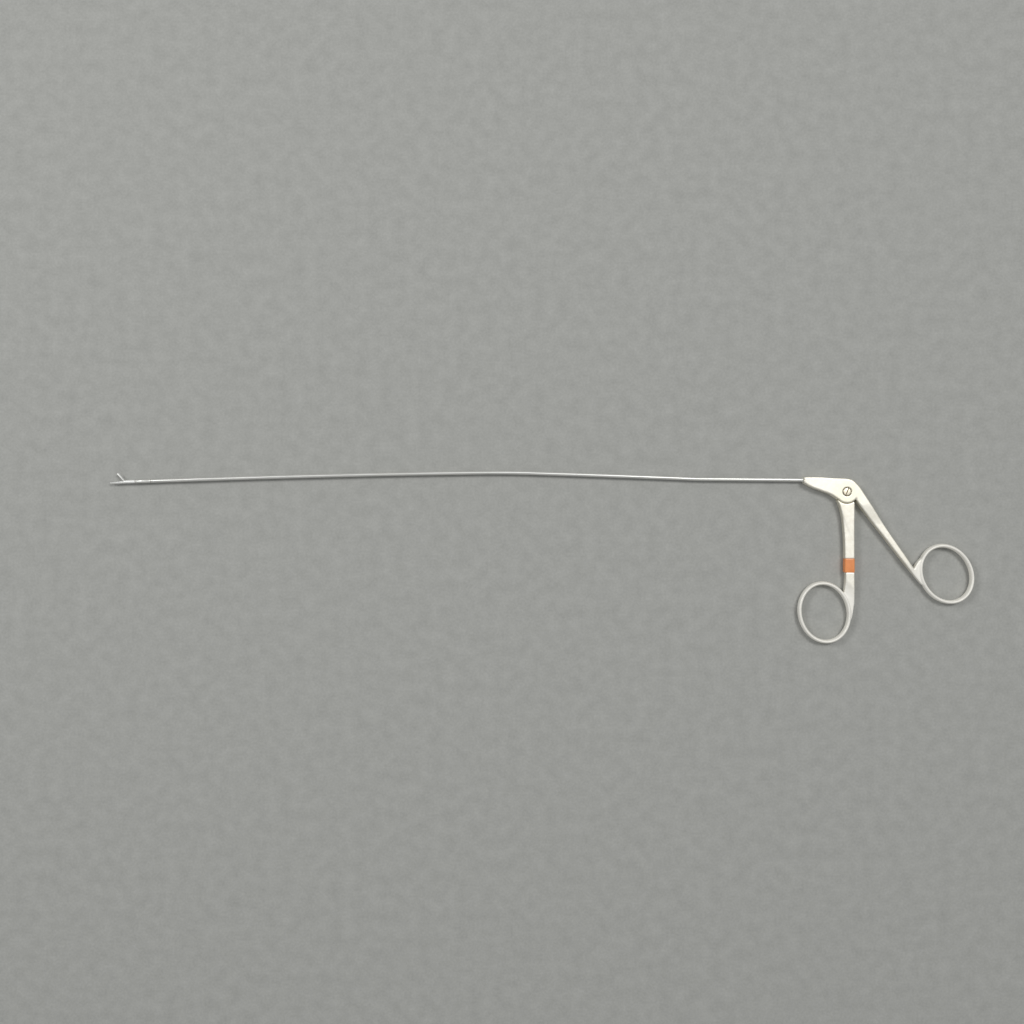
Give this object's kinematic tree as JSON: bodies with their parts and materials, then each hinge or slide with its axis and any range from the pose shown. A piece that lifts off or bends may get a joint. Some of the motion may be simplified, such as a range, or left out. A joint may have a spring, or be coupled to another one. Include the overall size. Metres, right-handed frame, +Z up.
{
  "type": "grasping forceps",
  "caption": "Ring-handled grasping forceps with a long thin shaft and single-action serrated alligator jaws, lying flat with the jaws open.",
  "frame": {"origin": "where the lever's pivot axis meets the flat underside of the pivot screw, which is flush with the handle's underside", "axes": "-X along the shaft towards the jaws, -Y towards the finger rings, +Z up through the thickness of the flat-lying forceps"},
  "size_m": [0.4237, 0.0846, 0.005],
  "materials": {
    "satin_steel": "fine bead-blasted satin",
    "bright_steel": "polished",
    "screw_steel": "turned, warm tint",
    "orange_band": "semi-gloss"
  },
  "bodies": {
    "handle": {"handle_body": "satin_steel", "pivot_screw": "screw_steel", "nose_ferrule": "bright_steel", "shaft_tube": "bright_steel", "coupling_sleeve": "bright_steel", "distal_housing": "bright_steel", "jaw_pivot_pin": "screw_steel"},
    "lever": {"front_lever": "satin_steel", "colour_band": "orange_band"},
    "rod": {"drive_rod": "bright_steel", "rod_trunnion": "screw_steel", "rod_stiffener": "bright_steel", "drive_blade": "bright_steel"},
    "jaw": {"moving_jaw": "bright_steel", "jaw_link_pin": "screw_steel"}
  },
  "joints": [
    {"name": "lever_pivot", "type": "hinge", "parent": "handle", "child": "lever", "pos_m": [0, 0, 0.0025], "axis": [0, 0, 1], "range_deg": [0, 7.77]},
    {"name": "rod_slide", "type": "slide", "parent": "handle", "child": "rod", "axis": [-0.9995, -0.033, 0], "range_m": [0, 0.000772]},
    {"name": "jaw_pivot", "type": "hinge", "parent": "handle", "child": "jaw", "pos_m": [-0.35447, 0.0044, 0.0025], "axis": [0, 0, 1], "range_deg": [0, 54]}
  ],
  "couplings": [
    {"joint": "rod_slide", "follows": "lever_pivot", "m_per_rad": 0.005685},
    {"joint": "jaw_pivot", "follows": "lever_pivot", "ratio": 6.9423}
  ]
}
